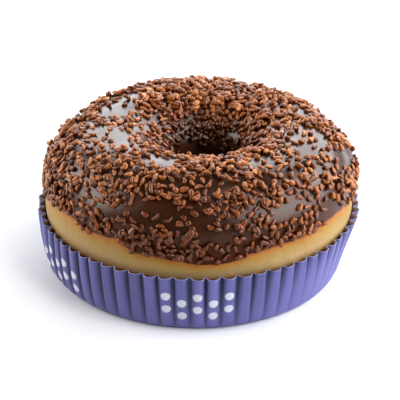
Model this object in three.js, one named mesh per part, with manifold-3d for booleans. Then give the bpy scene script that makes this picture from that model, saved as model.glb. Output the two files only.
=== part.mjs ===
// A ring doughnut, dipped in chocolate glaze and strewn with chocolate granules, in its pleated paper cup.
// Millimetres, +Z up. The origin is on the resting face, under the middle of the cup. The front is at -Y.
import * as THREE from "three";
import { mergeVertices } from "three/addons/utils/BufferGeometryUtils.js";
import Module from "manifold-3d";

const wasm = await Module();
wasm.setup();

const FULL_TURN = 2 * Math.PI;
const degrees = THREE.MathUtils.degToRad;

// Driving dimensions of the paper cup. Its radii are measured over the ridges of the pleats.
const CUP_HEIGHT = 17.8;
const CUP_RIM_RADIUS = 47.4;
const CUP_BASE_RADIUS = 43.5;
const CUP_FLOOR_RADIUS = 42.8;
const CUP_WALL_CURVE = 0.75;
const PAPER = 0.4;
const PLEATS = 68;
const PLEAT_DEPTH_RIM = 1.5;
const PLEAT_DEPTH_BASE = 0.3;
const PLEAT_DEPTH_CURVE = 0.8;
const PLEAT_LOSS_CURVE = 4;
const CUP_LEVELS = [0.06, 0.4, 1];
const CUP_BELLY_CURVE = 0.6;

// One pleat runs from the left end of its flat ridge over the right end to the bottom of the valley:
// the place along the pleat, and how deep it lies there.
const PLEAT_POINTS = [
  { along: -0.27, fold: 0 },
  { along: 0.27, fold: 0 },
  { along: 0.5, fold: 1 },
];

// Where the cup is pressed out of round: at which angle from the front towards +X, over what width,
// and how far it stands out at its belly and at its rim.
const CUP_SWELLS = [
  { at: -62, width: 34, belly: 1.3, rim: 0 },
  { at: -90, width: 45, belly: 0, rim: -1 },
  { at: 66, width: 34, belly: -1.5, rim: 0 },
  { at: 90, width: 45, belly: 0, rim: -0.4 },
];

// Where the pleats are pulled flatter below the rim: at which angle, over what width, and the share of
// depth lost.
const FLATTER_PLEATS = [
  { at: 54, width: 22, loss: 0.75 },
  { at: -150, width: 30, loss: 0.3 },
];

// Driving dimensions of the dough ring. Radii are from its own middle, and heights from the resting face.
const OUTER_RADIUS = 43.65;
const CREST_RADIUS = 27.2;
const HOLE_RADIUS = 10.45;
const WIDEST_HEIGHT = 24;
const CREST_HEIGHT = 39.95;
const UNDERSIDE_HEIGHT = -1.5;
const LOWER_FULLNESS = 2.2;
const INNER_FULLNESS = 2.15;
const REST_GAP = 0.3;
const RING_SHIFT = 0.8;
const HOLE_SHIFT = 1.9;
const HOLE_SHIFT_CURVE = 1.5;
const SIDE_STRETCH = 0.15;
const CREST_LEAN = 0.5;
const CREST_LEAN_ANGLE = -120;
const CREST_SADDLE = 0.1;
const BELT_BULGE = 1.1;
const BELT_BULGE_LEAN = 0.6;
const BELT_BULGE_LEAN_ANGLE = -60;
const BELT_HEIGHT = 16.5;
const BELT_SPREAD = 5;
const BELT_STARTS = 0.66;
const BELT_FULL = 0.95;
const AROUND = 54;
const COVERED_STATIONS = 8;
const UNDER_STATIONS = 7;
const UNDER_EASE = 1.5;

// Driving dimensions of the glaze. It lies on the dough with a hair of clearance.
const GLAZE_CLEARANCE = 0.3;
const GLAZE_THICKNESS = 0.75;
const GLAZE_BEAD = 0.15;
const GLAZE_STATIONS = 12;
const GLAZE_EDGE_HEIGHT = 25.5;
const GLAZE_HOLE_EDGE_HEIGHT = 21.5;
const GLAZE_HOLE_EDGE_WAVE = 0.8;
const GLAZE_HOLE_EDGE_WAVES = 4;

// Each drip pulls the glaze's outer edge down: at which angle from the front towards +X, how far,
// and over what width in degrees.
const DRIPS = [
  { at: 4, reach: 5.4, width: 18 },
  { at: -18, reach: 2, width: 10 },
  { at: -25, reach: 1.2, width: 5 },
  { at: -42, reach: 1.3, width: 9 },
  { at: -75, reach: 2.1, width: 10 },
  { at: -104, reach: 2.8, width: 13 },
  { at: -135, reach: 1.5, width: 9 },
  { at: -160, reach: 3.4, width: 12 },
  { at: 78, reach: 3, width: 16 },
  { at: 112, reach: 1.6, width: 10 },
  { at: 140, reach: 3.2, width: 14 },
  { at: 172, reach: 1.4, width: 8 },
];

// Driving dimensions of the granules: the longest ones, fused to the glaze.
const GRANULES = 196;
const GRANULE_LENGTH = 2.7;
const GRANULE_WIDTH = 1.9;
const GRANULE_THICKNESS = 1.35;
const GRANULE_SINK = 0.25;
const GRANULE_TOP_SHARE = 0.62;
const GRANULE_TIP_SHARE = 0.75;
const GRANULE_SPACING = 4;
const GRANULE_EDGE_MARGIN = 0.07;
const GRANULE_SIZES = [0.85, 1.15];
const GRANULE_TRIES = 40000;
const GRANULE_SEED = 7;

// Stretches of glaze that hardly any granule has landed on: the angle from the front, the place from
// the outer edge (0) over the crest to the hole (1), and the half sizes of both.
const BARE_STRETCHES = [
  { angle: -14, place: 0.22, halfAngle: 8, halfPlace: 0.09 },
  { angle: 52, place: 0.1, halfAngle: 12, halfPlace: 0.08 },
  { angle: 24, place: 0.44, halfAngle: 9, halfPlace: 0.16 },
  { angle: 88, place: 0.26, halfAngle: 13, halfPlace: 0.12 },
  { angle: -58, place: 0.64, halfAngle: 18, halfPlace: 0.09 },
  { angle: -108, place: 0.42, halfAngle: 16, halfPlace: 0.13 },
];

// A random number generator with a seed, from 0 to 1.
function seededRandom(seed) {
  const modulus = 2147483647;
  const multiplier = 16807;
  let state = seed;
  return () => {
    state = (state * multiplier) % modulus;
    return state / modulus;
  };
}

// The signed difference of two angles in degrees, from -180 to 180.
function angleBetween(a, b) {
  return THREE.MathUtils.euclideanModulo(a - b + 180, 360) - 180;
}

// A smooth hump that is 1 at the centre angle and dies away over the width, both in degrees.
function hump(angle, centre, width) {
  return Math.exp(-((angleBetween(angle, centre) / width) ** 2));
}

// Rings of points, each with the same count, are skinned into one closed surface. The last ring joins
// the first, unless a cap point closes each end. Each facet is split along its shorter diagonal.
function skin(rings, { closed = true, startCap = null, endCap = null } = {}) {
  const count = rings[0].length;
  const positions = rings.flat().flatMap((point) => point.toArray());
  const triangles = [];
  const last = closed ? rings.length : rings.length - 1;
  for (let ring = 0; ring < last; ring += 1) {
    const after = (ring + 1) % rings.length;
    const [here, next] = [ring * count, after * count];
    for (let i = 0; i < count; i += 1) {
      const j = (i + 1) % count;
      const forward = rings[ring][i].distanceTo(rings[after][j]);
      const backward = rings[ring][j].distanceTo(rings[after][i]);
      if (forward < backward) {
        triangles.push(here + i, here + j, next + j, here + i, next + j, next + i);
      } else {
        triangles.push(here + i, here + j, next + i, here + j, next + j, next + i);
      }
    }
  }
  if (startCap) {
    positions.push(...startCap.toArray());
    const centre = positions.length / 3 - 1;
    for (let i = 0; i < count; i += 1) {
      triangles.push(centre, (i + 1) % count, i);
    }
  }
  if (endCap) {
    positions.push(...endCap.toArray());
    const centre = positions.length / 3 - 1;
    const base = (rings.length - 1) * count;
    for (let i = 0; i < count; i += 1) {
      triangles.push(centre, base + i, base + ((i + 1) % count));
    }
  }
  const geometry = new THREE.BufferGeometry();
  geometry.setAttribute("position", new THREE.Float32BufferAttribute(positions, 3));
  geometry.setIndex(triangles);
  return geometry;
}

// Points along one ring, made by a function of the angle in degrees from the front towards +X.
function ringOfPoints(count, pointAt) {
  return Array.from({ length: count }, (_, i) => pointAt((360 * i) / count));
}

// A point at an angle from the front, a radius and a height.
function polar(angle, radius, height, shift = 0) {
  const turn = degrees(angle);
  return new THREE.Vector3(shift + radius * Math.sin(turn), -radius * Math.cos(turn), height);
}

// Slow unevenness of the ring: how much wider and higher it is at an angle.
function ringSwell(angle) {
  const twoLobes = Math.cos(degrees(2 * angle));
  return {
    wider: -SIDE_STRETCH * twoLobes,
    higher: CREST_LEAN * Math.cos(degrees(angle - CREST_LEAN_ANGLE)) + CREST_SADDLE * twoLobes,
  };
}

// The ring's section: radius and height at an angle round the section, where 0 is the widest line,
// a quarter turn is the crest, and half a turn is the waist of the hole.
function sectionAt(turn) {
  const across = Math.cos(turn);
  const upward = Math.sin(turn);
  const outerFullness = upward < 0 ? LOWER_FULLNESS : 2;
  const power = 2 / (across < 0 ? INNER_FULLNESS : outerFullness);
  const reach = across < 0 ? CREST_RADIUS - HOLE_RADIUS : OUTER_RADIUS - CREST_RADIUS;
  const rise = upward < 0 ? WIDEST_HEIGHT - UNDERSIDE_HEIGHT : CREST_HEIGHT - WIDEST_HEIGHT;
  return new THREE.Vector2(
    CREST_RADIUS + reach * Math.sign(across) * Math.abs(across) ** power,
    WIDEST_HEIGHT + rise * Math.sign(upward) * Math.abs(upward) ** power,
  );
}

// The outward normal of the section, from its two neighbours.
function sectionNormal(turn) {
  const step = 0.01;
  const along = sectionAt(turn + step).sub(sectionAt(turn - step));
  return new THREE.Vector2(along.y, -along.x).normalize();
}

// How far the belt between the glaze and the paper bulges out at a height. The hole's side keeps its form.
function beltBulge(angle, height, outward) {
  const fullest = BELT_BULGE + BELT_BULGE_LEAN * Math.cos(degrees(angle - BELT_BULGE_LEAN_ANGLE));
  const level = Math.exp(-(((height - BELT_HEIGHT) / BELT_SPREAD) ** 2));
  return fullest * level * THREE.MathUtils.smoothstep(outward, BELT_STARTS, BELT_FULL);
}

// A point of the ring, lifted off the dough by some millimetres.
function ringPoint(angle, turn, lift = 0) {
  const swell = ringSwell(angle);
  const section = sectionAt(turn).addScaledVector(sectionNormal(turn), lift);
  const outward = (section.x - HOLE_RADIUS) / (OUTER_RADIUS - HOLE_RADIUS);
  const upward = (section.y - WIDEST_HEIGHT) / (CREST_HEIGHT - WIDEST_HEIGHT);
  const radius = section.x + swell.wider * outward + beltBulge(angle, section.y, outward);
  const height = section.y + swell.higher * Math.max(0, upward);
  const shift = RING_SHIFT + HOLE_SHIFT * THREE.MathUtils.clamp(1 - outward, 0, 1) ** HOLE_SHIFT_CURVE;
  return polar(angle, radius, Math.max(height, PAPER + REST_GAP), shift);
}

// The turn at which the outer flank has a height. Counted from the hole's side, it fits the hole's wall too.
function turnAtHeight(height) {
  if (height >= WIDEST_HEIGHT) {
    return Math.asin((height - WIDEST_HEIGHT) / (CREST_HEIGHT - WIDEST_HEIGHT));
  }
  const share = (WIDEST_HEIGHT - height) / (WIDEST_HEIGHT - UNDERSIDE_HEIGHT);
  return -Math.asin(share ** (LOWER_FULLNESS / 2));
}

// Where the glaze starts and ends round the section, at an angle.
function glazeSpan(angle) {
  let edge = GLAZE_EDGE_HEIGHT;
  for (const drip of DRIPS) {
    edge -= drip.reach * hump(angle, drip.at, drip.width);
  }
  const wave = Math.sin(degrees(GLAZE_HOLE_EDGE_WAVES * angle));
  const holeEdge = GLAZE_HOLE_EDGE_HEIGHT + GLAZE_HOLE_EDGE_WAVE * wave;
  return { start: turnAtHeight(edge), end: Math.PI - turnAtHeight(holeEdge) };
}

// The turn at a share of the way from the glaze's outer edge (0) to its edge in the hole (1).
function coveredTurn(angle, share) {
  const { start, end } = glazeSpan(angle);
  return THREE.MathUtils.lerp(start, end, share);
}

// The turn at a share of the way from the glaze's edge in the hole (0), round under, to its outer edge (1).
function bareTurn(angle, share) {
  const { start, end } = glazeSpan(angle);
  return THREE.MathUtils.lerp(end, start + FULL_TURN, share);
}

// The rings of the face under the glaze, from its outer edge to the hole, lifted off the dough.
// The dough and the glaze both use them, so the two keep the same clearance all over.
function coveredRings(lift) {
  return Array.from({ length: COVERED_STATIONS + 1 }, (_, station) =>
    ringOfPoints(AROUND, (angle) => ringPoint(angle, coveredTurn(angle, station / COVERED_STATIONS), lift)),
  );
}

// The dough ring: the face under the glaze, then the bare face down the hole, under and out again.
function makeDough() {
  const rings = coveredRings(0);
  for (let station = 1; station < UNDER_STATIONS; station += 1) {
    const share = 1 - (1 - station / UNDER_STATIONS) ** UNDER_EASE;
    rings.push(ringOfPoints(AROUND, (angle) => ringPoint(angle, bareTurn(angle, share))));
  }
  return skin(rings);
}

// How far the glaze's outer face stands off the dough at a station: a bead runs along both edges.
function glazeLift(station) {
  const fromEdge = Math.min(station, GLAZE_STATIONS - station);
  const bead = fromEdge <= 1 ? GLAZE_BEAD : 0;
  return GLAZE_CLEARANCE + GLAZE_THICKNESS + bead;
}

// The outer face of the glaze as a grid of rings, which the granules are set on too.
function glazeOuterRings() {
  return Array.from({ length: GLAZE_STATIONS + 1 }, (_, station) =>
    ringOfPoints(AROUND, (angle) =>
      ringPoint(angle, coveredTurn(angle, station / GLAZE_STATIONS), glazeLift(station)),
    ),
  );
}

// The glaze itself: its outer face, and its inner face on the way back.
function makeGlaze(outerRings) {
  return skin([...outerRings, ...coveredRings(GLAZE_CLEARANCE).reverse()]);
}

// Whether a place on the glaze lies in one of the bare stretches.
function isBare(angle, place) {
  return BARE_STRETCHES.some((bare) => {
    const sideways = angleBetween(angle, bare.angle) / bare.halfAngle;
    const upwards = (place - bare.place) / bare.halfPlace;
    return sideways ** 2 + upwards ** 2 < 1;
  });
}

// A point of the faceted outer face with its normal, at an angle and a place from edge (0) to hole (1).
function glazeSurface(outerRings, angle, place) {
  const column = (THREE.MathUtils.euclideanModulo(angle, 360) / 360) * AROUND;
  const row = Math.min(place * GLAZE_STATIONS, GLAZE_STATIONS - 1e-6);
  const [i, k] = [Math.floor(column), Math.floor(row)];
  const [u, v] = [column - i, row - k];
  const next = (i + 1) % AROUND;
  const near = outerRings[k][i].clone().lerp(outerRings[k][next], u);
  const far = outerRings[k + 1][i].clone().lerp(outerRings[k + 1][next], u);
  const left = outerRings[k][i].clone().lerp(outerRings[k + 1][i], v);
  const right = outerRings[k][next].clone().lerp(outerRings[k + 1][next], v);
  const sideways = right.sub(left).normalize();
  const inward = far.clone().sub(near).normalize();
  return { point: near.lerp(far, v), normal: sideways.clone().cross(inward).normalize(), sideways };
}

// The places of the granules: thrown at random, and kept where they lie clear of the others.
function granulePlaces(outerRings) {
  const random = seededRandom(GRANULE_SEED);
  const places = [];
  for (let tries = 0; tries < GRANULE_TRIES && places.length < GRANULES; tries += 1) {
    const angle = 360 * random();
    const place = GRANULE_EDGE_MARGIN + (1 - 2 * GRANULE_EDGE_MARGIN) * random();
    const spot = glazeSurface(outerRings, angle, place);
    const radius = Math.hypot(spot.point.x - RING_SHIFT, spot.point.y);
    const isLikely = random() < radius / OUTER_RADIUS;
    const isClear = places.every((other) => other.point.distanceTo(spot.point) > GRANULE_SPACING);
    if (isLikely && isClear && !isBare(angle, place)) {
      const size = THREE.MathUtils.lerp(...GRANULE_SIZES, random());
      places.push({ ...spot, spin: FULL_TURN * random(), size });
    }
  }
  return places;
}

// One granule: a chip with flat sides, smaller at its top and at one tip, sunk into the glaze it lies on.
function makeGranule({ point, normal, sideways, spin, size }) {
  const chip = new THREE.BoxGeometry(1, 1, 1);
  const corners = chip.getAttribute("position");
  for (let i = 0; i < corners.count; i += 1) {
    const topShare = corners.getZ(i) > 0 ? GRANULE_TOP_SHARE : 1;
    const tipShare = corners.getX(i) > 0 ? GRANULE_TIP_SHARE : 1;
    corners.setXY(i, corners.getX(i) * topShare, corners.getY(i) * topShare * tipShare);
  }
  chip.scale(GRANULE_LENGTH * size, GRANULE_WIDTH * size, GRANULE_THICKNESS);
  chip.rotateZ(spin);
  const across = normal.clone().cross(sideways);
  chip.applyMatrix4(new THREE.Matrix4().makeBasis(sideways, across, normal));
  const middle = point.clone().addScaledVector(normal, GRANULE_THICKNESS / 2 - GRANULE_SINK);
  return chip.translate(middle.x, middle.y, middle.z);
}

// How deep the pleats are at an angle. Share is the height along the wall.
function pleatDepth(angle, share) {
  const usual = THREE.MathUtils.lerp(PLEAT_DEPTH_BASE, PLEAT_DEPTH_RIM, share ** PLEAT_DEPTH_CURVE);
  const belowRim = 1 - share ** PLEAT_LOSS_CURVE;
  return FLATTER_PLEATS.reduce(
    (depth, { at, width, loss }) => depth * (1 - loss * hump(angle, at, width) * belowRim),
    usual,
  );
}

// How far the cup's wall stands out of its round shape. Share is the height along the wall.
function cupSwell(angle, share) {
  let swell = 0;
  for (const { at, width, belly, rim } of CUP_SWELLS) {
    const bellyShare = Math.sin(Math.PI * share ** CUP_BELLY_CURVE);
    swell += hump(angle, at, width) * (belly * bellyShare + rim * share);
  }
  return swell;
}

// A point of the cup's wall. Fold is 0 on a ridge and 1 in a valley.
function cupPoint(angle, share, fold, inset) {
  const ridge = CUP_BASE_RADIUS + (CUP_RIM_RADIUS - CUP_BASE_RADIUS) * share ** CUP_WALL_CURVE;
  const radius = ridge + cupSwell(angle, share) - fold * pleatDepth(angle, share) - inset;
  return polar(angle, radius, share * CUP_HEIGHT);
}

// The paper cup: a flat floor and a pleated wall, one sheet thick.
function makeCup() {
  const stops = Array.from({ length: PLEATS }, (_, pleat) =>
    PLEAT_POINTS.map(({ along, fold }) => ({ angle: (360 * (pleat + along)) / PLEATS, fold })),
  ).flat();
  const wall = (share, inset) => stops.map(({ angle, fold }) => cupPoint(angle, share, fold, inset));
  const floor = (radius, height) => stops.map(({ angle }) => polar(angle, radius, height));
  const outside = CUP_LEVELS.map((share) => wall(share, 0));
  const inside = CUP_LEVELS.map((share) => wall(share, PAPER));
  const rings = [
    floor(CUP_FLOOR_RADIUS, 0),
    ...outside,
    ...inside.reverse(),
    floor(CUP_FLOOR_RADIUS - PAPER, PAPER),
  ];
  return skin(rings, {
    closed: false,
    startCap: new THREE.Vector3(0, 0, 0),
    endCap: new THREE.Vector3(0, 0, PAPER),
  });
}

// A closed geometry as a solid that can be joined to others.
function solidFrom(geometry) {
  const bare = new THREE.BufferGeometry();
  const source = geometry.index ? geometry.toNonIndexed() : geometry;
  bare.setAttribute("position", source.getAttribute("position"));
  const merged = mergeVertices(bare, 1e-4);
  return new wasm.Manifold(
    new wasm.Mesh({
      numProp: 3,
      vertProperties: new Float32Array(merged.getAttribute("position").array),
      triVerts: new Uint32Array(merged.index.array),
    }),
  );
}

// A solid as a geometry again.
function geometryFrom(solid) {
  const { vertProperties, triVerts } = solid.getMesh();
  const geometry = new THREE.BufferGeometry();
  geometry.setAttribute("position", new THREE.BufferAttribute(vertProperties, 3));
  geometry.setIndex(new THREE.BufferAttribute(triVerts, 1));
  return geometry;
}

// The glaze with its granules fused on.
function makeStrewnGlaze() {
  const outerRings = glazeOuterRings();
  let solid = solidFrom(makeGlaze(outerRings));
  for (const place of granulePlaces(outerRings)) {
    solid = solid.add(solidFrom(makeGranule(place)));
  }
  return geometryFrom(solid);
}

// One named piece with its own material.
function makeMesh(name, geometry, colour, roughness) {
  const material = new THREE.MeshStandardMaterial({ color: colour, roughness, metalness: 0 });
  geometry.computeVertexNormals();
  const mesh = new THREE.Mesh(geometry, material);
  mesh.name = name;
  return mesh;
}

const doughnut = new THREE.Group();
doughnut.add(makeMesh("paper_cup", makeCup(), 0x615695, 0.7));
doughnut.add(makeMesh("dough_ring", makeDough(), 0xd8b074, 0.75));
doughnut.add(makeMesh("chocolate_glaze", makeStrewnGlaze(), 0x4a2a1a, 0.3));

export default doughnut;
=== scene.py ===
import math

import bpy
import numpy as np
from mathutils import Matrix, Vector, noise


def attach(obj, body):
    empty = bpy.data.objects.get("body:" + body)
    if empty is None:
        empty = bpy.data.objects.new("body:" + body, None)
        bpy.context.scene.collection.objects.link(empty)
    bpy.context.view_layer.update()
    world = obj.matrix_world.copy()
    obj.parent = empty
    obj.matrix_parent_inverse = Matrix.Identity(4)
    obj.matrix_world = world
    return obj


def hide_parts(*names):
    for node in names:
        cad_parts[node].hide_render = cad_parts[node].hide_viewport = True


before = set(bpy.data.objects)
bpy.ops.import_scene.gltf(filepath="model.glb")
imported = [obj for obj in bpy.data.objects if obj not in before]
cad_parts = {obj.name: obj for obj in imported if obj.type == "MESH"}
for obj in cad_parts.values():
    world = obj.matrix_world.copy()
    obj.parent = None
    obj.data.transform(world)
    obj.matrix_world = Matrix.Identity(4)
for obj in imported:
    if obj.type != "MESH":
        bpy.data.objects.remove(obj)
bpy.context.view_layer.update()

MM = 0.001
BODY = "root"
# Small steps by which slopes are measured: radians round the section, and a share of the glaze's reach.
TURN_STEP = 0.01
SHARE_STEP = 0.01

# Every angle and width of a hump is in degrees, and an angle runs from the front (-Y) towards +X.
# Sizes are in millimetres unless a comment says metres, and the meshes are made in metres.

# The paper cup's driving dimensions. Radii are over the ridges of the pleats.
CUP_HEIGHT = 17.8
CUP_RIM_RADIUS = 47.7
CUP_BASE_RADIUS = 43.1
CUP_FLOOR_RADIUS = 42.8
CUP_WALL_CURVE = 0.65
CUP_BELLY_CURVE = 0.6
# The share of the wall over which its foot rounds into the floor.
CUP_FLOOR_ROUND = 0.06
# Rings of the floor, as shares of the way out to the foot of the wall.
CUP_FLOOR_RINGS = (0.05, 0.35, 0.7, 0.99)
WALL_ROWS = 26
PAPER = 0.22

# Where the cup is out of round: angle, width, and how far the base, belly and rim stand out.
CUP_SWELLS = [
    (-62, 34, 0.0, 0.9, 0.0),
    (-90, 45, 0.0, 0.0, -1.2),
    (81, 34, -0.75, -0.85, 0.0),
    (90, 45, 0.0, 0.0, -0.3),
    (0, 40, 0.25, 0.0, 0.0),
]

# The pleats. PLEAT_VALLEY is the share of their whole depth that the valleys reach.
PLEATS = 68
PLEAT_DEPTH_RIM = 1.9
PLEAT_DEPTH_BASE = 0.15
PLEAT_DEPTH_CURVE = 0.8
PLEAT_SHARPNESS = 2.6
PLEAT_VALLEY = 0.92
POINTS_PER_PLEAT = 14
# How much the pleats differ: how far out their ridges stand, and how far the ridges lie off their place.
RIDGE_HEIGHTS = (0.7, 1.1)
RIDGE_NUDGE = 0.12
PLEAT_SEED = 5
# Where the pleats are pulled flatter below the rim: angle, width, and the share of their depth lost.
FLATTER_PLEATS = [(50, 25, 0.88), (-150, 30, 0.3)]
FLATTER_CURVE = 4
# An angle at which the pleats have their whole depth, and how fast the painted shade in the creases grows
# up the wall.
CREASED_ANGLE = -40
CREASE_SHADE_CURVE = 0.4

# The print: patches of plain white dots round these pleats, with a dot on the face of every pleat.
PRINT_PLEATS = (0, -11, -23, 33, 21)
PRINT_HALF_LENGTH = 2.6
PRINT_HEIGHT = 8.6
DOT_ROWS = 2
DOT_SPACING = 4.38
DOT_RADIUS = 1.3
# Shares of the dots' spacing: how far dots are moved up and down by turns, and how soft a dot's edge is.
DOT_STAGGER = 0.25
DOT_SOFTNESS = 0.03

# The dough ring's driving dimensions. A fullness of 2 is an ellipse, and more is squarer.
OUTER_RADIUS = 43.65
CREST_RADIUS = 27.2
HOLE_RADIUS = 10.45
WIDEST_HEIGHT = 24.0
CREST_HEIGHT = 39.95
UNDERSIDE_HEIGHT = -1.5
UPPER_FULLNESS = 2.0
LOWER_FULLNESS = 2.2
INNER_FULLNESS = 2.15
LOWEST = 0.7
# The ring sits off the cup's middle towards +X, and the hole more so.
RING_SHIFT = 0.8
HOLE_SHIFT = 1.9
HOLE_SHIFT_CURVE = 1.5
# How much farther out the ring stands at its sides, and how much less in front and behind.
SIDE_STRETCH = 0.15
# The crest is highest at the back left, and a little higher in front and behind than at the sides.
CREST_LEAN = 0.5
CREST_LEAN_ANGLE = -120
CREST_SADDLE = 0.1
# The belt bulges out over the paper's rim, most at the front left and least at the back right.
BELT_BULGE = 1.4
BELT_BULGE_LEAN = 0.45
BELT_BULGE_LEAN_ANGLE = -60
BELT_HEIGHT = 16.5
BELT_SPREAD = 5.0
# Where the bulge starts and is full, as shares of the way from the hole to the ring's outside.
BELT_STARTS = 0.66
BELT_FULL = 0.95
# The height down to which the belt is pale. Its colours run on to so many times as far below the glaze.
BELT_FOOT = 16.6
BELT_COLOURS_REACH = 1.4
DOUGH_COLUMNS = 480
DOUGH_ROWS = 150
DOUGH_SUNK = 0.1
# Size, height and seed of each layer of lumps.
DOUGH_LUMPS = [(9, 0.22, 2), (3, 0.06, 5)]

# The glaze's driving dimensions. It thins out towards its edges and sinks into the dough there.
GLAZE_LIFT = 1.05
GLAZE_EDGE_LIFT = 0.5
GLAZE_EDGE_ROUND = 0.7
GLAZE_THINS_OVER = 9.0
GLAZE_SUNK = 0.15
GLAZE_LENGTH = 58.0
GLAZE_EDGE_HEIGHT = 25.5
GLAZE_HOLE_EDGE_HEIGHT = 21.5
GLAZE_HOLE_EDGE_WAVE = 0.8
GLAZE_HOLE_EDGE_WAVES = 4
# Angle, reach and width of each drip of the outer edge.
DRIPS = [
    (4, 4.9, 18), (38, 1.9, 16), (-18, 2.0, 10), (-25, 1.2, 5), (-42, 1.3, 9),
    (-75, 2.1, 10), (-104, 2.8, 13), (-135, 1.5, 9), (-160, 3.4, 12), (78, 3, 16),
    (112, 1.6, 10), (140, 3.2, 14), (172, 1.4, 8),
]
# The small waves between the drips: how many go round the ring, their shares, their height and their seed.
EDGE_WAVES = (23, 31, 44, 59, 73)
EDGE_WAVE_SHARES = (0.5, 1.0)
EDGE_WAVE_HEIGHT = 0.5
EDGE_WAVE_SEED = 3
# Angle, place from the outer edge (0) to the hole (1), their half sizes, and height of each lump.
GLAZE_LUMPS = [(94, 0.10, 9, 0.07, 1.3), (-97, 0.12, 7, 0.06, 0.6), (126, 0.22, 6, 0.05, 0.6)]
# Size, height and seed of each layer of small lumps all over.
GLAZE_RIPPLES = [(11, 0.16, 1), (4.5, 0.06, 4)]
GLAZE_COLUMNS = 600
GLAZE_ROWS = 92
# The share of the glaze at each edge that has closer rows, and how many.
GLAZE_RIM = 0.03
GLAZE_RIM_ROWS = 10

# The granules: the most that there may be, which keeps their mesh under 200,000 triangles, and how
# often one is thrown on the glaze. A thrown one stays where the cover and its neighbours allow it.
GRANULES = 2375
THROWS = 60000
GRANULE_SEED = 11
GRANULE_LENGTH = 2.2
GRANULE_WIDTH = 1.65
GRANULE_THICKNESS = 1.3
GRANULE_RINGS = 6
GRANULE_SIDES = 7
GRANULE_SUNK = 0.35
# The glaze's share that may carry granules, from its outer edge to the hole.
GRANULES_START = 0.004
GRANULES_END = 0.9
# The least distance between two middles, in the usual cover and in a thick one.
GRANULE_SPACING = 1.6
THICK_COVER_SPACING = 1.4
# A granule may also lie on top of others: the share of such throws that stay, how much higher they lie,
# the least distance to the nearest other, and how many others must be how near to hold it.
SECOND_LAYER_SHARE = 0.35
SECOND_LAYER_LIFT = 0.75
SECOND_LAYER_NEAREST = 0.8
SECOND_LAYER_REACH = 1.7
SECOND_LAYER_HOLDERS = 2

# How single granules differ. Their length, width and thickness are shares of the usual ones, with one
# range for width and thickness. Twist, roll and tilt are in radians.
LENGTH_RANGE = (0.75, 1.15)
WIDTH_RANGE = (0.85, 1.15)
CURL_RANGE = (-0.2, 0.4)
TWIST_RANGE = (-0.3, 0.3)
BLUNTNESS_RANGE = (2.2, 2.8)
TAPER_RANGE = (-0.25, 0.25)
UNEVENNESS = 0.03
ROLL = 0.5
TILT = 0.2
# The rings of a granule lie on a sine up to one angle in radians, and its tips at another.
LAST_RING = 1.33
TIP = 1.45
# The share of the half length, squared, at which a bend crosses the granule's middle line.
BEND_CROSSING = 0.4
GROOVE_SHARPNESS = 4
STRAIGHT_CHIP = {
    "length": 1,
    "width": 1,
    "thickness": 1,
    "side_bend": (0, 0.2),
    "groove": (0.0, 0.35),
}
CURLED_CHIP = {
    "length": 1.15,
    "width": 0.76,
    "thickness": 0.85,
    "side_bend": (0.25, 0.6),
    "groove": (0.0, 0.1),
}
# More of the granules are curled, and they are smaller, towards this side.
CURLED_SIDE_ANGLE = -60
CURLED_SHARE = 0.45
CURLED_SHARE_LEAN = 0.25
SMALLER_ON_LEFT = 0.04

# Painted shade: granules get darker down in the hole, from one place to the next, but less so at two sides
# of it, which the side lights reach.
HOLE_SHADE_FROM = 0.68
HOLE_SHADE_FULL_AT = 0.86
LIT_SIDES = (-95, 105)
LIT_SIDES_WIDTH = 25
LIT_SIDES_SHARE = 0.6
# They also get painted shade low on the front.
FRONT_SHADE = 0.45
FRONT_SHADE_WIDTH = 40
FRONT_SHADE_UP_TO = 0.45

# How thickly the granules lie, as a share, and the clumps that they form.
USUAL_COVER = 0.43
COVER_LIMITS = (0.03, 1.0)
CLUMP_SIZE = 4.5
CLUMP_USUAL = 0.85
CLUMP_STRENGTH = 1.1
CLUMP_LIMITS = (0.05, 1.6)
CLUMP_SEED = 9
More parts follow.
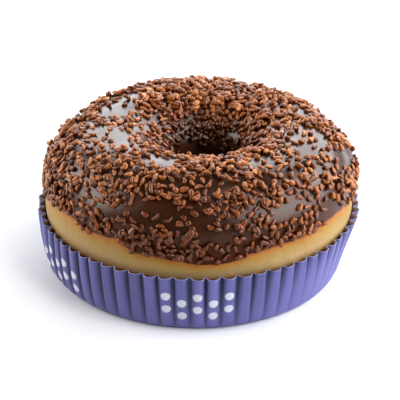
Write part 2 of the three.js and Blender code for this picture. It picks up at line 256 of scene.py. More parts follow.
# Where the cover changes, chosen spot by spot: angle, place from the outer edge (0) to the hole (1),
# their half sizes, and what is added to the usual cover or taken from it.
COVER_CHANGES = [
    (180, 0.50, 52, 0.15, 0.6), (128, 0.55, 22, 0.16, 0.6), (-145, 0.55, 22, 0.09, 0.5),
    (-74, 0.05, 26, 0.06, 0.6), (10, 0.59, 26, 0.08, 0.5), (42, 0.60, 16, 0.06, 0.5),
    (-52, 0.41, 9, 0.05, 0.4), (-88, 0.25, 22, 0.09, 0.4), (62, 0.13, 18, 0.12, 0.3),
    (90, 0.32, 9, 0.07, 0.4), (-105, 0.80, 18, 0.08, 0.4), (102, 0.78, 18, 0.08, 0.4),
    (28, 0.03, 12, 0.03, 0.4), (7, 0.50, 15, 0.05, 0.4), (-82, 0.12, 14, 0.10, 0.35),
    (5, 0.50, 12, 0.05, 0.3), (130, 0.46, 7, 0.07, 0.5), (40, 0.59, 14, 0.05, 0.6),
    (-92, 0.57, 6, 0.04, 0.5), (-40, 0.64, 7, 0.04, 0.6), (-5, 0.64, 8, 0.04, 0.6),
    (52, 0.51, 6, 0.04, 0.6), (-170, 0.50, 20, 0.06, 0.4), (-55, 0.30, 14, 0.05, 0.25),
    (-20, 0.30, 14, 0.04, 0.3), (-132, 0.46, 8, 0.05, -0.9), (-112, 0.50, 13, 0.08, -0.9),
    (-76, 0.48, 12, 0.08, -1.0), (-29, 0.50, 8, 0.07, -0.7), (-72, 0.64, 14, 0.04, -0.6),
    (-125, 0.66, 13, 0.05, -0.6), (36, 0.47, 8, 0.045, -1.0), (73, 0.42, 16, 0.08, -1.0),
    (80, 0.19, 9, 0.08, -0.9), (112, 0.43, 9, 0.04, -0.8), (-17, 0.20, 10, 0.06, -0.7),
    (4, 0.11, 7, 0.035, -0.5), (34, 0.18, 8, 0.07, -0.5), (60, 0.30, 34, 0.20, -0.12),
    (152, 0.43, 8, 0.04, -0.8), (62, 0.71, 16, 0.04, -0.8), (180, 0.73, 78, 0.11, 0.7),
    (-45, 0.11, 9, 0.05, -0.1), (180, 0.92, 80, 0.05, -0.4), (-25, 0.07, 14, 0.05, 0.25),
    (-22, 0.40, 12, 0.04, 0.4), (-110, 0.37, 8, 0.04, 0.6), (-81, 0.42, 7, 0.03, 0.5),
    (40, 0.57, 16, 0.04, 0.4), (100, 0.37, 9, 0.04, 0.6), (52, 0.12, 12, 0.06, -0.4),
    (61, 0.03, 15, 0.05, -0.9), (-5, 0.10, 30, 0.07, 0.2), (-80, 0.18, 7, 0.14, 0.4),
    (-90, 0.27, 7, 0.07, 0.3), (24, 0.25, 7, 0.05, 0.4), (8, 0.28, 18, 0.07, 0.35),
    (28, 0.25, 8, 0.06, 0.3), (92, 0.29, 8, 0.06, 0.4), (60, 0.32, 5, 0.03, 0.4),
    (-45, 0.43, 9, 0.03, 0.4), (135, 0.46, 9, 0.05, 0.5), (-20, 0.50, 7, 0.03, -0.4),
    (-24, 0.63, 9, 0.03, -0.5), (5, 0.63, 9, 0.04, 0.4), (32, 0.61, 8, 0.04, 0.5),
    (-85, 0.57, 7, 0.03, 0.4), (-142, 0.37, 6, 0.04, 0.5), (112, 0.50, 6, 0.04, -0.4),
    (-80, 0.07, 8, 0.08, 0.5), (-70, 0.25, 6, 0.05, -0.4), (-58, 0.64, 12, 0.03, -0.5),
    (-25, 0.64, 10, 0.03, -0.5), (-40, 0.43, 7, 0.03, 0.3), (75, 0.45, 12, 0.05, -0.6),
    (70, 0.23, 6, 0.05, -0.6), (-131, 0.46, 8, 0.06, -0.6), (-68, 0.48, 9, 0.07, -0.5),
    (-95, 0.79, 14, 0.06, 0.4), (104, 0.80, 12, 0.06, 0.4), (40, 0.57, 10, 0.03, 0.4),
]

# The camera, fitted to the photo's outline: degrees above the floor, metres, and a lens in millimetres.
CAMERA_ELEVATION = 30.29
CAMERA_DISTANCE = 0.400
CAMERA_TARGET = (0.00075, 0, 0.0164)
CAMERA_LENS = 119.9
CAMERA_SENSOR = 36.0
CAMERA_CLIP_START = 0.01

# The studio, in metres. The floor lies a little lower than the cup, so that the two don't share a face.
FLOOR_REACH = 3.0
FLOOR_HEIGHT = -0.0002
WORLD_STRENGTH = 0.09
LIGHTS_TARGET = (0, 0, 0.02)
COOL_WHITE = (0.9, 0.94, 1.0)
WHITE = (1, 1, 1)
# Name, place, size, watts and colour of each light.
LIGHTS = [
    ("back_light", (0.28, 0.92, 0.62), (2.3, 0.75), 30, COOL_WHITE),
    ("right_light", (0.72, -0.18, 0.44), (1.2, 0.8), 19.5, COOL_WHITE),
    ("top_light", (0.25, -0.18, 0.74), (0.14, 0.3), 1.0, WHITE),
    ("left_light", (-0.83, 0.12, 0.42), (0.9, 0.7), 11.5, WHITE),
]


# Shapes that the pieces share


def apart(angle, centre):
    """Signed difference of two angles in degrees."""
    return (angle - centre + 180.0) % 360.0 - 180.0


def hump(angle, centre, width):
    """A smooth hump that is 1 at the centre angle."""
    return np.exp(-((apart(angle, centre) / width) ** 2))


def polar(angle, radius, height, shift=0.0):
    """Points in metres from angles, radii and heights in millimetres."""
    turn = np.radians(angle)
    x = shift + radius * np.sin(turn)
    y = -radius * np.cos(turn)
    return np.stack(np.broadcast_arrays(x, y, height), axis=-1) * MM


def unit(vectors):
    """The vectors at length 1."""
    return vectors / np.linalg.norm(vectors, axis=-1, keepdims=True)


def section(turn):
    """Radius and height of the ring's section. Turn 0 is the widest line, a quarter turn the crest."""
    across, upward = np.cos(turn), np.sin(turn)
    outer_fullness = np.where(upward < 0, LOWER_FULLNESS, UPPER_FULLNESS)
    power = 2.0 / np.where(across < 0, INNER_FULLNESS, outer_fullness)
    reach = np.where(across < 0, CREST_RADIUS - HOLE_RADIUS, OUTER_RADIUS - CREST_RADIUS)
    rise = np.where(upward < 0, WIDEST_HEIGHT - UNDERSIDE_HEIGHT, CREST_HEIGHT - WIDEST_HEIGHT)
    radius = CREST_RADIUS + reach * np.sign(across) * np.abs(across) ** power
    height = WIDEST_HEIGHT + rise * np.sign(upward) * np.abs(upward) ** power
    return radius, height


def ring_point(angle, turn, lift):
    """Points of the ring, lifted off the dough by some millimetres."""
    radius, height = section(turn)
    ahead, behind = section(turn + TURN_STEP), section(turn - TURN_STEP)
    along = np.stack([ahead[0] - behind[0], ahead[1] - behind[1]])
    along = along / np.hypot(*along)
    radius = radius + along[1] * lift
    height = height - along[0] * lift
    outward = (radius - HOLE_RADIUS) / (OUTER_RADIUS - HOLE_RADIUS)
    upward = np.maximum(0, (height - WIDEST_HEIGHT) / (CREST_HEIGHT - WIDEST_HEIGHT))
    two_lobes = np.cos(np.radians(2 * angle))
    higher = CREST_LEAN * np.cos(np.radians(angle - CREST_LEAN_ANGLE)) + CREST_SADDLE * two_lobes
    bulge = BELT_BULGE + BELT_BULGE_LEAN * np.cos(np.radians(angle - BELT_BULGE_LEAN_ANGLE))
    ease = np.clip((outward - BELT_STARTS) / (BELT_FULL - BELT_STARTS), 0, 1)
    belt = np.exp(-(((height - BELT_HEIGHT) / BELT_SPREAD) ** 2)) * ease ** 2 * (3 - 2 * ease)
    radius = radius - SIDE_STRETCH * two_lobes * outward + bulge * belt
    height = np.maximum(height + higher * upward, LOWEST)
    shift = RING_SHIFT + HOLE_SHIFT * np.clip(1 - outward, 0, 1) ** HOLE_SHIFT_CURVE
    return polar(angle, radius, height, shift)


def turn_at_height(height):
    """The turn at which the flank has a height."""
    above = np.arcsin(np.clip((height - WIDEST_HEIGHT) / (CREST_HEIGHT - WIDEST_HEIGHT), 0, 1))
    share = np.clip((WIDEST_HEIGHT - height) / (WIDEST_HEIGHT - UNDERSIDE_HEIGHT), 0, 1)
    below = -np.arcsin(share ** (LOWER_FULLNESS / 2))
    return np.where(height >= WIDEST_HEIGHT, above, below)


def noise_at(points, scale, seed):
    """Smooth noise from about -1 to 1 at points in metres. Each seed reads another stretch of the noise."""
    offset = Vector((seed * 7.1, seed * 3.3, seed * 5.7))
    flat = points.reshape(-1, 3) / (scale * MM)
    values = [noise.noise(Vector(p) + offset) for p in flat]
    return np.array(values).reshape(points.shape[:-1])


def lumps_at(points, layers):
    """How far the lumps of some layers of noise stand out at points, in millimetres."""
    return sum(noise_at(points, size, seed) * height for size, height, seed in layers)


def grid_faces(rows, columns, wrap_rows=False):
    """Quads of a grid of points that closes on itself along its columns, and along its rows if asked."""
    faces = []
    last = rows if wrap_rows else rows - 1
    for r in range(last):
        here, there = r * columns, ((r + 1) % rows) * columns
        for c in range(columns):
            d = (c + 1) % columns
            faces.append((here + c, here + d, there + d, there + c))
    return faces


def add_mesh(name, points, faces, materials):
    """A smooth mesh object that rides on the body."""
    mesh = bpy.data.meshes.new(name)
    mesh.from_pydata(np.asarray(points).reshape(-1, 3).tolist(), [], faces)
    mesh.polygons.foreach_set("use_smooth", [True] * len(mesh.polygons))
    for material in materials:
        mesh.materials.append(material)
    mesh.update()
    piece = bpy.data.objects.new(name, mesh)
    bpy.context.scene.collection.objects.link(piece)
    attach(piece, BODY)
    return piece


def add_values(piece, name, values):
    """A value for each vertex, which the piece's material reads."""
    layer = piece.data.attributes.new(name, "FLOAT", "POINT")
    layer.data.foreach_set("value", np.asarray(values, dtype=np.float32).reshape(-1))


# Materials


def srgb(red, green, blue):
    """A linear colour from display values of 0 to 255."""
    def linear(value):
        value /= 255
        return value / 12.92 if value <= 0.04045 else ((value + 0.055) / 1.055) ** 2.4
    return (linear(red), linear(green), linear(blue), 1.0)


class Nodes:
    """A short way to write a material's nodes."""

    def __init__(self, name):
        self.material = bpy.data.materials.new(name)
        self.material.use_nodes = True
        self.tree = self.material.node_tree
        self.shader = self.tree.nodes["Principled BSDF"]
        self.place = self.node("ShaderNodeTexCoord").outputs["Object"]

    def node(self, kind, **settings):
        """A new node with some of its settings."""
        made = self.tree.nodes.new(kind)
        for key, value in settings.items():
            setattr(made, key, value)
        return made

    def feed(self, socket, source):
        """Gives a socket a constant, or the output of another node."""
        if isinstance(source, (int, float, tuple)):
            socket.default_value = source
        else:
            self.tree.links.new(source, socket)

    def noise(self, scale, detail, roughness=0.5):
        """Noise over the piece's own place. Scale is in lumps to the metre."""
        made = self.node("ShaderNodeTexNoise")
        self.feed(made.inputs["Scale"], scale)
        self.feed(made.inputs["Detail"], detail)
        self.feed(made.inputs["Roughness"], roughness)
        self.feed(made.inputs["Vector"], self.place)
        return made.outputs["Fac"]

    def value(self, name):
        """A value that add_values put on the vertices."""
        return self.node("ShaderNodeAttribute", attribute_name=name).outputs["Fac"]

    def ramp(self, source, stops):
        """Colours that change with a value, from a list of positions and colours."""
        made = self.node("ShaderNodeValToRGB")
        elements = made.color_ramp.elements
        while len(elements) < len(stops):
            elements.new(0.5)
        for element, (position, colour) in zip(elements, stops):
            element.position = position
            element.color = colour
        self.feed(made.inputs["Fac"], source)
        return made.outputs["Color"]

    def mix(self, factor, first, second):
        """A colour between two others."""
        made = self.node("ShaderNodeMix", data_type="RGBA")
        factor_socket, first_socket, second_socket = made.inputs[0], made.inputs[6], made.inputs[7]
        self.feed(factor_socket, factor)
        self.feed(first_socket, first)
        self.feed(second_socket, second)
        return made.outputs[2]

    def math(self, operation, first, second):
        """One sum, product or comparison of two values."""
        made = self.node("ShaderNodeMath", operation=operation)
        self.feed(made.inputs[0], first)
        self.feed(made.inputs[1], second)
        return made.outputs[0]

    def span(self, source, low, high, to_low=0.0, to_high=1.0):
        """A value between two limits, brought to between two others and held there."""
        made = self.node("ShaderNodeMapRange")
        self.feed(made.inputs["From Min"], low)
        self.feed(made.inputs["From Max"], high)
        self.feed(made.inputs["To Min"], to_low)
        self.feed(made.inputs["To Max"], to_high)
        self.feed(made.inputs["Value"], source)
        return made.outputs["Result"]

    def bump(self, source, strength, distance, below=None):
        """Fine relief with a distance in metres, laid over another one if asked."""
        made = self.node("ShaderNodeBump")
        self.feed(made.inputs["Strength"], strength)
        self.feed(made.inputs["Distance"], distance)
        self.feed(made.inputs["Height"], source)
        if below is not None:
            self.feed(made.inputs["Normal"], below)
        return made.outputs["Normal"]

    def finish(self, colour, roughness, normal=None, **others):
        """Feeds the shader. The others are its sockets' names with _ for a space."""
        self.feed(self.shader.inputs["Base Color"], colour)
        self.feed(self.shader.inputs["Roughness"], roughness)
        if normal is not None:
            self.feed(self.shader.inputs["Normal"], normal)
        for name, source in others.items():
            self.feed(self.shader.inputs[name.replace("_", " ")], source)
        return self.material


def glaze_material():
    """Dark chocolate glaze with a soft, cloudy shine, and browner reflections towards its outer edge."""
    n = Nodes("glaze_chocolate")
    from_edge = n.value("from_edge")
    cloudy = n.ramp(n.noise(90, 4, 0.55), [(0.3, srgb(40, 16, 3)), (0.7, srgb(54, 23, 4))])
    lip = n.span(from_edge, 2.2, 0.6)
    colour = n.mix(lip, cloudy, srgb(48, 14, 8))
    roughness = n.span(n.noise(120, 3), 0.3, 0.7, 0.2, 0.34)
    ripple = n.bump(n.noise(230, 2), 0.3, 0.0004)
    fine = n.bump(n.noise(1500, 3), 0.12, 0.0001, ripple)
    low = n.span(from_edge, 10.0, 3.0)
    pale_tint = (1.0, 0.84, 0.77, 1.0)
    brown_tint = (0.5, 0.2, 0.1, 1.0)
    tint = n.mix(low, pale_tint, brown_tint)
    return n.finish(colour, roughness, fine, Specular_IOR_Level=0.46, Specular_Tint=tint)


def granule_material():
    """Milk chocolate granules, each of a slightly different brown, with painted shade deep in the hole and
    low on the front.
    """
    n = Nodes("granule_chocolate")
    # Below its middle, this ramp is reached only through the painted shade.
    own = n.ramp(
        n.span(n.value("tone_and_shade"), -1.0, 1.0),
        [
            (0.0, srgb(44, 16, 4)), (0.5, srgb(84, 32, 6)), (0.75, srgb(130, 62, 18)),
            (1.0, srgb(178, 106, 50)),
        ],
    )
    speck = n.span(n.noise(1400, 3), 0.35, 0.7)
    colour = n.mix(speck, own, n.mix(0.4, own, srgb(60, 28, 12)))
    roughness = n.span(n.noise(900, 2), 0.3, 0.7, 0.24, 0.4)
    normal = n.bump(n.noise(1200, 3), 0.35, 0.0002)
    tint = (1.0, 0.76, 0.56, 1.0)
    return n.finish(colour, roughness, normal, Specular_IOR_Level=0.6, Specular_Tint=tint)


def dough_material():
    """Fried dough: a pale belt, golden under the glaze's edge and browner below."""
    n = Nodes("dough_fried")
    wobble = n.span(n.noise(120, 3), 0.0, 1.0, -0.11, 0.11)
    depth = n.math("ADD", n.value("below_edge"), wobble)
    belt = n.ramp(
        n.span(depth, 0.0, BELT_COLOURS_REACH),
        [
            (0.00, srgb(118, 56, 10)), (0.05, srgb(158, 88, 16)), (0.14, srgb(154, 103, 26)),
            (0.25, srgb(150, 115, 49)), (0.36, srgb(152, 122, 67)), (0.54, srgb(160, 132, 86)),
            (0.69, srgb(161, 126, 77)), (0.78, srgb(128, 74, 30)), (1.00, srgb(90, 48, 20)),
        ],
    )
    patch = n.span(n.noise(240, 4, 0.6), 0.4, 0.75)
    colour = n.mix(n.math("MULTIPLY", patch, 0.25), belt, srgb(142, 100, 50))
    pores = n.bump(n.noise(900, 4, 0.6), 0.5, 0.0003)
    wrinkle = n.bump(n.noise(220, 2), 0.4, 0.0006, pores)
    return n.finish(
        colour, 0.62, wrinkle, Specular_IOR_Level=0.35, Subsurface_Weight=0.12,
        Subsurface_Radius=(0.006, 0.003, 0.0015), Subsurface_Scale=0.3,
    )


def paper_face(n, light, dark):
    """Colour and relief of baking paper with fine fibres."""
    fibres = n.noise(2600, 3, 0.6)
    colour = n.ramp(n.mix(0.5, fibres, n.noise(70, 2)), [(0.3, dark), (0.7, light)])
    return colour, n.bump(fibres, 0.2, 0.00008)


def plain_paper_material(name, light, dark, roughness):
    """The unprinted side of the paper, or its cut edge."""
    n = Nodes(name)
    colour, normal = paper_face(n, light, dark)
    return n.finish(colour, roughness, normal, Specular_IOR_Level=0.4)


def printed_paper_material():
    """The printed side: purple on the pleats' faces, with painted shade of darker slate blue down in the
    creases.
    """
    n = Nodes("paper_purple")
    face, normal = paper_face(n, srgb(97, 92, 152), srgb(85, 81, 139))
    # Painted shade in the creases: slate blue over the purple.
    crease_shade = n.span(n.value("crease_shade"), 0.0, 0.6)
    purple = n.mix(crease_shade, face, srgb(28, 36, 70))
    dots = n.node("ShaderNodeTexVoronoi", voronoi_dimensions="2D", feature="F1")
    n.feed(dots.inputs["Scale"], 1.0)
    n.feed(dots.inputs["Randomness"], 0.0)
    spot = n.node("ShaderNodeCombineXYZ")
    n.feed(spot.inputs[0], n.value("print_along"))
    n.feed(spot.inputs[1], n.value("print_up"))
    n.feed(dots.inputs["Vector"], spot.outputs[0])
    radius = DOT_RADIUS / DOT_SPACING
    is_dot = n.span(dots.outputs["Distance"], radius + DOT_SOFTNESS, radius - DOT_SOFTNESS)
    in_patch = n.math("LESS_THAN", n.value("print_reach"), 1.0)
    # The white dots get painted shade in the creases too.
    white = n.mix(n.math("MULTIPLY", crease_shade, 0.5), srgb(190, 192, 202), srgb(112, 116, 140))
    colour = n.mix(n.math("MULTIPLY", is_dot, in_patch), purple, white)
    return n.finish(colour, 0.5, normal, Specular_IOR_Level=0.35)


def floor_material():
    """A plain pale studio floor."""
    n = Nodes("floor_paint")
    darker = (0.74, 0.728, 0.722, 1)
    lighter = (0.76, 0.748, 0.742, 1)
    colour = n.ramp(n.noise(3, 2), [(0.0, darker), (1.0, lighter)])
    return n.finish(colour, 0.9, Specular_IOR_Level=0.1)


# The glaze's outline and face, which the dough and the granules follow too


def edge_waves(angle):
    """The uneven waves of the glaze's outer edge: a few sines with seeded phases."""
    rng = np.random.default_rng(EDGE_WAVE_SEED)
    total = np.zeros_like(angle, dtype=float)
    for count in EDGE_WAVES:
        phase = rng.uniform(0, 2 * math.pi)
        total += np.sin(np.radians(count * angle) + phase) * rng.uniform(*EDGE_WAVE_SHARES)
    return EDGE_WAVE_HEIGHT * total / len(EDGE_WAVES)


def glaze_span(angle):
    """Where the glaze starts outside and ends in the hole, as turns."""
    edge = np.full_like(angle, GLAZE_EDGE_HEIGHT, dtype=float)
    for at, reach, width in DRIPS:
        edge -= reach * hump(angle, at, width)
    edge += edge_waves(angle)
    hole_wave = np.sin(np.radians(GLAZE_HOLE_EDGE_WAVES * angle))
    hole_edge = GLAZE_HOLE_EDGE_HEIGHT + GLAZE_HOLE_EDGE_WAVE * hole_wave
    return turn_at_height(edge), math.pi - turn_at_height(hole_edge)


def glaze_place(angle, share, extra=0.0):
    """Points of the glaze's face at an angle and a place from its outer edge (0) to the hole (1)."""
    start, end = glaze_span(angle)
    turn = start + (end - start) * share
    from_edge = np.minimum(share, 1 - share) * GLAZE_LENGTH
    rounded = np.sqrt(np.clip(1 - (1 - np.clip(from_edge / GLAZE_EDGE_ROUND, 0, 1)) ** 2, 0, 1))
    thinned = np.clip(from_edge / GLAZE_THINS_OVER, 0, 1)
    full = GLAZE_EDGE_LIFT + (GLAZE_LIFT - GLAZE_EDGE_LIFT) * thinned
    for at, level, half_angle, half_place, height in GLAZE_LUMPS:
        reach = (apart(angle, at) / half_angle) ** 2 + ((share - level) / half_place) ** 2
        full = full + height * np.exp(-reach)
    return ring_point(angle, turn, rounded * (full + extra) - GLAZE_SUNK)


# The dough ring


def make_dough():
    """The fried dough: one closed ring with small lumps."""
    angle, turn = np.meshgrid(
        np.linspace(0, 360, DOUGH_COLUMNS, endpoint=False),
        np.linspace(0, 2 * math.pi, DOUGH_ROWS, endpoint=False),
    )
    lumps = lumps_at(ring_point(angle, turn, 0.0), DOUGH_LUMPS)
    points = ring_point(angle, turn, lumps - DOUGH_SUNK)
    faces = grid_faces(DOUGH_ROWS, DOUGH_COLUMNS, wrap_rows=True)
    piece = add_mesh("dough", points, faces, [dough_material()])
    start, _ = glaze_span(angle)
    edge = ring_point(angle, start, 0.0)[..., 2]
    below = (edge - points[..., 2]) / (edge - BELT_FOOT * MM)
    is_inside = np.cos(turn) < 0
    add_values(piece, "below_edge", np.where(is_inside, BELT_COLOURS_REACH, below))
    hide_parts("dough_ring")


# The glaze


def glaze_shares():
    """Places from the outer edge to the hole, closer together at both edges."""
    fine = GLAZE_RIM * (1 - np.cos(np.linspace(0, math.pi / 2, GLAZE_RIM_ROWS)))
    middle = np.linspace(GLAZE_RIM, 1 - GLAZE_RIM, GLAZE_ROWS)[1:-1]
    return np.concatenate([fine, middle, 1 - fine[::-1]])


def make_glaze():
    """The glaze: an open sheet whose two edges are sunk in the dough."""
    shares = glaze_shares()
    angle, share = np.meshgrid(np.linspace(0, 360, GLAZE_COLUMNS, endpoint=False), shares)
    ripples = lumps_at(glaze_place(angle, share), GLAZE_RIPPLES)
    points = glaze_place(angle, share, ripples)
    faces = grid_faces(len(shares), GLAZE_COLUMNS)
    piece = add_mesh("glaze", points, faces, [glaze_material()])
    add_values(piece, "from_edge", share * GLAZE_LENGTH)
    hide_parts("chocolate_glaze")


# The granules


def cover(angle, place):
    """How thickly the granules lie at a place of the glaze, as a share."""
    share = np.full_like(angle, USUAL_COVER)
    for at, level, half_angle, half_place, change in COVER_CHANGES:
        reach = (apart(angle, at) / half_angle) ** 2 + ((place - level) / half_place) ** 2
        share = share + change * np.exp(-(reach ** 2))
    return np.clip(share, *COVER_LIMITS)


def strewn_places(rng):
    """Angles and places of the granules, and which lie on top of others."""
    angle = rng.uniform(-180, 180, THROWS)
    place = rng.uniform(GRANULES_START, GRANULES_END, THROWS)
    here = glaze_place(angle, place)
    along = (glaze_place(angle, place + SHARE_STEP) - here) / SHARE_STEP
    around = glaze_place(angle + 1, place) - here
    area = np.linalg.norm(np.cross(around, along), axis=-1)
    clump_noise = noise_at(here, CLUMP_SIZE, CLUMP_SEED)
    clumps = np.clip(CLUMP_USUAL + CLUMP_STRENGTH * clump_noise, *CLUMP_LIMITS)
    share = cover(angle, place)
    crowding = np.clip(2 * share - 1, 0, 1)
    clumps = clumps + (1 - clumps) * crowding
    chance = share * clumps * area / area.max()
    spacing = GRANULE_SPACING + (THICK_COVER_SPACING - GRANULE_SPACING) * crowding
    order = np.flatnonzero(rng.uniform(0, 1, THROWS) < chance)
    upper_draw = rng.uniform(0, 1, THROWS)
    kept, on_top = [order[0]], [False]
    for i in order[1:]:
        if len(kept) == GRANULES:
            break
        near = np.linalg.norm(here[kept] - here[i], axis=-1) / MM
        is_free = near.min() > spacing[i]
        is_held = np.sum(near < SECOND_LAYER_REACH) >= SECOND_LAYER_HOLDERS
        may_lie_on_top = near.min() > SECOND_LAYER_NEAREST and is_held
        if is_free or (may_lie_on_top and upper_draw[i] < SECOND_LAYER_SHARE):
            kept.append(i)
            on_top.append(not is_free)
    return angle[kept], place[kept], np.array(on_top)


def granule_shape(rng, curled_share):
    """One granule about its own middle: a short chip, straight or curled, as points in metres."""
    kind = CURLED_CHIP if rng.uniform(0, 1) < curled_share else STRAIGHT_CHIP
    length = GRANULE_LENGTH * rng.uniform(*LENGTH_RANGE) * kind["length"]
    width = GRANULE_WIDTH * rng.uniform(*WIDTH_RANGE) * kind["width"]
    thickness = GRANULE_THICKNESS * rng.uniform(*WIDTH_RANGE) * kind["thickness"]
    side_bend = rng.choice([-1, 1]) * rng.uniform(*kind["side_bend"])
    curl = rng.uniform(*CURL_RANGE)
    groove = rng.uniform(*kind["groove"])
    twist = rng.uniform(*TWIST_RANGE)
    bluntness = rng.uniform(*BLUNTNESS_RANGE)
    along = np.sin(np.linspace(-1, 1, GRANULE_RINGS) * LAST_RING) / math.sin(TIP)
    fat = (1 - np.abs(along) ** bluntness) ** (1 / bluntness)
    fat = (fat * (1 + rng.uniform(*TAPER_RANGE) * along))[:, None]
    along = along[:, None]
    turn = (np.arange(GRANULE_SIDES) * 2 * math.pi / GRANULE_SIDES)[None, :]
    across = fat * np.cos(turn) * width / 2
    upward = fat * np.sin(turn) * thickness / 2
    upward = upward - groove * thickness * fat * np.maximum(0, np.sin(turn)) ** GROOVE_SHARPNESS
    spin = twist * along
    bend = along ** 2 - BEND_CROSSING
    y = across * np.cos(spin) - upward * np.sin(spin) + side_bend * bend * width
    z = across * np.sin(spin) + upward * np.cos(spin) + curl * bend * thickness
    x = along * length / 2 + 0 * y
    points = np.stack([x, y, z], axis=-1).reshape(-1, 3)
    points = points + rng.normal(0, UNEVENNESS, points.shape)
    tip_bend = 1 - BEND_CROSSING
    tip_place = (side_bend * tip_bend * width, curl * tip_bend * thickness)
    tips = [(-length / 2, *tip_place), (length / 2, *tip_place)]
    return np.vstack([points, tips]) * MM


def granule_faces():
    """Faces of one granule: quads round it and triangles to its two tips."""
    faces = grid_faces(GRANULE_RINGS, GRANULE_SIDES)
    first_tip = GRANULE_RINGS * GRANULE_SIDES
    last_tip = first_tip + 1
    last_ring = first_tip - GRANULE_SIDES
    for k in range(GRANULE_SIDES):
        faces.append((first_tip, (k + 1) % GRANULE_SIDES, k))
    for k in range(GRANULE_SIDES):
        faces.append((last_tip, last_ring + k, last_ring + (k + 1) % GRANULE_SIDES))
    return faces


def painted_shade(angle, place):
    """How much painted shade darkens the granules: deep in the hole, and low on the front."""
    hole_shade = np.clip((place - HOLE_SHADE_FROM) / (HOLE_SHADE_FULL_AT - HOLE_SHADE_FROM), 0, 1)
    lit = sum(hump(angle, side, LIT_SIDES_WIDTH) for side in LIT_SIDES)
    hole_shade = hole_shade * (1 - LIT_SIDES_SHARE * lit)
    low = np.clip(1 - place / FRONT_SHADE_UP_TO, 0, 1)
    low_front_shade = hump(angle, 0, FRONT_SHADE_WIDTH) * low
    return np.maximum(hole_shade, FRONT_SHADE * low_front_shade)


def set_down(shape, rng, up, around, across, lift):
    """A granule turned, tilted and rolled at random, with its lowest point so many millimetres up."""
    spin, roll = rng.uniform(0, 2 * math.pi), rng.normal(0, ROLL)
    tilt = rng.normal(0, TILT)
    ahead = math.cos(spin) * around + math.sin(spin) * across
    side = np.cross(up, ahead)
    leaning = math.cos(tilt) * ahead + math.sin(tilt) * up
    top = np.cross(leaning, side)
    rolled = math.cos(roll) * side + math.sin(roll) * top
    top = np.cross(leaning, rolled)
    turned = shape @ np.stack([leaning, rolled, top])
    lowest = (turned @ up).min()
    return turned + up * (lift * MM - lowest)


def make_granules():
    """All granules as one mesh, strewn over the glaze and sunk a little into it."""
    rng = np.random.default_rng(GRANULE_SEED)
    angle, place, on_top = strewn_places(rng)
    middle = glaze_place(angle, place)
    around = glaze_place(angle + 0.5, place) - glaze_place(angle - 0.5, place)
    along = glaze_place(angle, place + SHARE_STEP) - middle
    up = unit(np.cross(around, along))
    around = unit(around)
    across = np.cross(up, around)
    leftward = np.cos(np.radians(angle - CURLED_SIDE_ANGLE))
    curled_share = CURLED_SHARE + CURLED_SHARE_LEAN * leftward
    size = 1 - SMALLER_ON_LEFT * leftward
    # The painted shade of each granule, deep in the hole and low on the front.
    dark = painted_shade(angle, place)
    chip_faces = granule_faces()
    points, faces, tones = [], [], []
    for i in range(len(angle)):
        shape = granule_shape(rng, curled_share[i]) * size[i]
        lift = on_top[i] * SECOND_LAYER_LIFT - GRANULE_SUNK
        placed = middle[i] + set_down(shape, rng, up[i], around[i], across[i], lift)
        first = len(tones)
        points.append(placed)
        faces += [tuple(first + k for k in face) for face in chip_faces]
        # A random brown tone, pulled darker by the painted shade.
        tone_and_shade = rng.uniform(0, 1) * (1 - dark[i]) - dark[i]
        tones += [tone_and_shade] * len(placed)
    piece = add_mesh("granules", np.vstack(points), faces, [granule_material()])
    add_values(piece, "tone_and_shade", tones)


# The paper cup


def pleat_depth(angle, share):
    """How deep the pleats are at an angle and a share of the wall's height."""
    depth = PLEAT_DEPTH_BASE + (PLEAT_DEPTH_RIM - PLEAT_DEPTH_BASE) * share ** PLEAT_DEPTH_CURVE
    for at, width, loss in FLATTER_PLEATS:
        depth = depth * (1 - loss * hump(angle, at, width) * (1 - share ** FLATTER_CURVE))
    return depth


def cup_swell(angle, share):
    """How far the wall stands out of round."""
    belly_share = np.sin(math.pi * share ** CUP_BELLY_CURVE)
    swell = 0.0
    for at, width, base, belly, rim in CUP_SWELLS:
        out = base * (1 - share) + belly * belly_share + rim * share
        swell = swell + hump(angle, at, width) * out
    return swell


def cup_point(angle, share, fold):
    """Points of the cup's outer face. Fold is 0 on a ridge and 1 in a valley."""
    ridge = CUP_BASE_RADIUS + (CUP_RIM_RADIUS - CUP_BASE_RADIUS) * share ** CUP_WALL_CURVE
    tuck = (CUP_BASE_RADIUS - CUP_FLOOR_RADIUS) * np.clip(1 - share / CUP_FLOOR_ROUND, 0, 1)
    radius = ridge - tuck + cup_swell(angle, share) - fold * pleat_depth(angle, share)
    return polar(angle, radius, share * CUP_HEIGHT)


def pleat_columns():
    """Angle and fold of each column of the wall; the pleats differ a little from each other."""
    columns = PLEATS * POINTS_PER_PLEAT
    along = np.arange(columns) / POINTS_PER_PLEAT
    place = (along % 1.0) - 0.5
    rng = np.random.default_rng(PLEAT_SEED)
    ridge_height = np.repeat(rng.uniform(*RIDGE_HEIGHTS, PLEATS), POINTS_PER_PLEAT)
    nudge = np.repeat(rng.uniform(-RIDGE_NUDGE, RIDGE_NUDGE, PLEATS), POINTS_PER_PLEAT)
    steps = np.floor(along) + place + nudge * (1 - (2 * place) ** 2)
    off_ridge = np.abs(2 * place)
    fold = off_ridge ** PLEAT_SHARPNESS * PLEAT_VALLEY + (1 - ridge_height) * (1 - off_ridge)
    return steps * 360 / PLEATS, fold


def print_values(angle, height):
    """Dots along and up the wall from the nearest patch's middle, and how far out of the patch it is."""
    pitch = 360 / PLEATS
    away = np.stack([apart(angle, at * pitch) for at in PRINT_PLEATS])
    nearest = np.take_along_axis(away, np.abs(away).argmin(axis=0)[None], axis=0)[0]
    along = nearest / pitch
    is_odd = np.round(angle / pitch) % 2
    half_rows = (DOT_ROWS - 1) / 2
    up = (height - PRINT_HEIGHT) / DOT_SPACING + half_rows + DOT_STAGGER * (2 * is_odd - 1)
    reach = np.maximum(np.abs(along) / PRINT_HALF_LENGTH, np.abs(up - half_rows) / (DOT_ROWS / 2))
    return along, up, reach


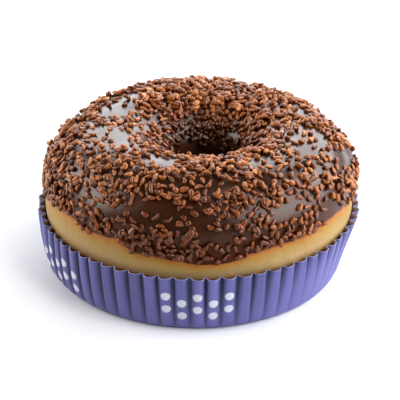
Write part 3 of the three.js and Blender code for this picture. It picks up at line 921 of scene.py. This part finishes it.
def make_paper_cup():
    """The pleated cup: one sheet for its floor and wall, which a modifier thickens inwards."""
    column_angle, column_fold = pleat_columns()
    angle, share = np.meshgrid(column_angle, np.linspace(0, 1, WALL_ROWS))
    fold = np.broadcast_to(column_fold, angle.shape)
    wall = cup_point(angle, share, fold)
    floor = np.stack([wall[0] * inward for inward in CUP_FLOOR_RINGS])
    rows = np.concatenate([floor, wall])
    middle_face = tuple(reversed(range(len(column_angle))))
    faces = grid_faces(len(rows), len(column_angle)) + [middle_face]
    outside = printed_paper_material()
    inside = plain_paper_material("paper_inside", srgb(186, 172, 200), srgb(164, 150, 182), 0.6)
    edge = plain_paper_material("paper_edge", srgb(150, 144, 176), srgb(124, 118, 156), 0.7)
    piece = add_mesh("paper_case", rows, faces, [outside, inside, edge])
    # Painted shade in the creases: most where the pleats are deepest, and growing up the wall.
    kept_depth = pleat_depth(angle, share) / pleat_depth(CREASED_ANGLE, share)
    wall_crease_shade = fold * share ** CREASE_SHADE_CURVE * kept_depth
    add_values(piece, "crease_shade", np.concatenate([np.zeros(floor.shape[:-1]), wall_crease_shade]))
    along, up, reach = print_values(np.broadcast_to(column_angle, rows.shape[:-1]), rows[..., 2] / MM)
    add_values(piece, "print_along", along)
    add_values(piece, "print_up", up)
    add_values(piece, "print_reach", reach)
    thicken = piece.modifiers.new("sheet", "SOLIDIFY")
    thicken.thickness = PAPER * MM
    thicken.offset = -1
    thicken.material_offset = 1
    thicken.material_offset_rim = 2
    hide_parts("paper_cup")


# The studio


def make_studio():
    """The floor and the faint light from all round."""
    mesh = bpy.data.meshes.new("floor")
    corners = [(x * FLOOR_REACH, y * FLOOR_REACH, 0) for x, y in ((-1, -1), (1, -1), (1, 1), (-1, 1))]
    mesh.from_pydata(corners, [], [(0, 1, 2, 3)])
    mesh.materials.append(floor_material())
    floor = bpy.data.objects.new("floor", mesh)
    floor.location.z = FLOOR_HEIGHT
    bpy.context.scene.collection.objects.link(floor)

    world = bpy.data.worlds.new("studio")
    world.use_nodes = True
    background = world.node_tree.nodes["Background"]
    background.inputs["Color"].default_value = (1, 1, 1, 1)
    background.inputs["Strength"].default_value = WORLD_STRENGTH
    bpy.context.scene.world = world


def look_at(thing, target):
    """Turns a lamp or camera to a point."""
    thing.rotation_euler = (Vector(target) - thing.location).to_track_quat("-Z", "Y").to_euler()


def add_light(name, place, size, watts, colour):
    """A rectangular lamp that points at the doughnut."""
    light = bpy.data.lights.new(name, "AREA")
    light.shape = "RECTANGLE"
    light.size, light.size_y = size
    light.energy = watts
    light.color = colour
    lamp = bpy.data.objects.new(name, light)
    lamp.location = place
    look_at(lamp, LIGHTS_TARGET)
    bpy.context.scene.collection.objects.link(lamp)


def make_lights():
    """All the lights of the studio."""
    for name, place, size, watts, colour in LIGHTS:
        add_light(name, place, size, watts, colour)


def make_camera():
    """The camera at the photo's angle."""
    elevation = math.radians(CAMERA_ELEVATION)
    camera = bpy.data.cameras.new("camera")
    camera.sensor_width = CAMERA_SENSOR
    camera.lens = CAMERA_LENS
    camera.clip_start = CAMERA_CLIP_START
    eye = bpy.data.objects.new("camera", camera)
    eye.location = (0, -CAMERA_DISTANCE * math.cos(elevation), CAMERA_DISTANCE * math.sin(elevation))
    look_at(eye, CAMERA_TARGET)
    bpy.context.scene.collection.objects.link(eye)
    bpy.context.scene.camera = eye


make_camera()
make_dough()
make_glaze()
make_granules()
make_paper_cup()
make_studio()
make_lights()
bpy.context.scene.view_settings.view_transform = "Standard"
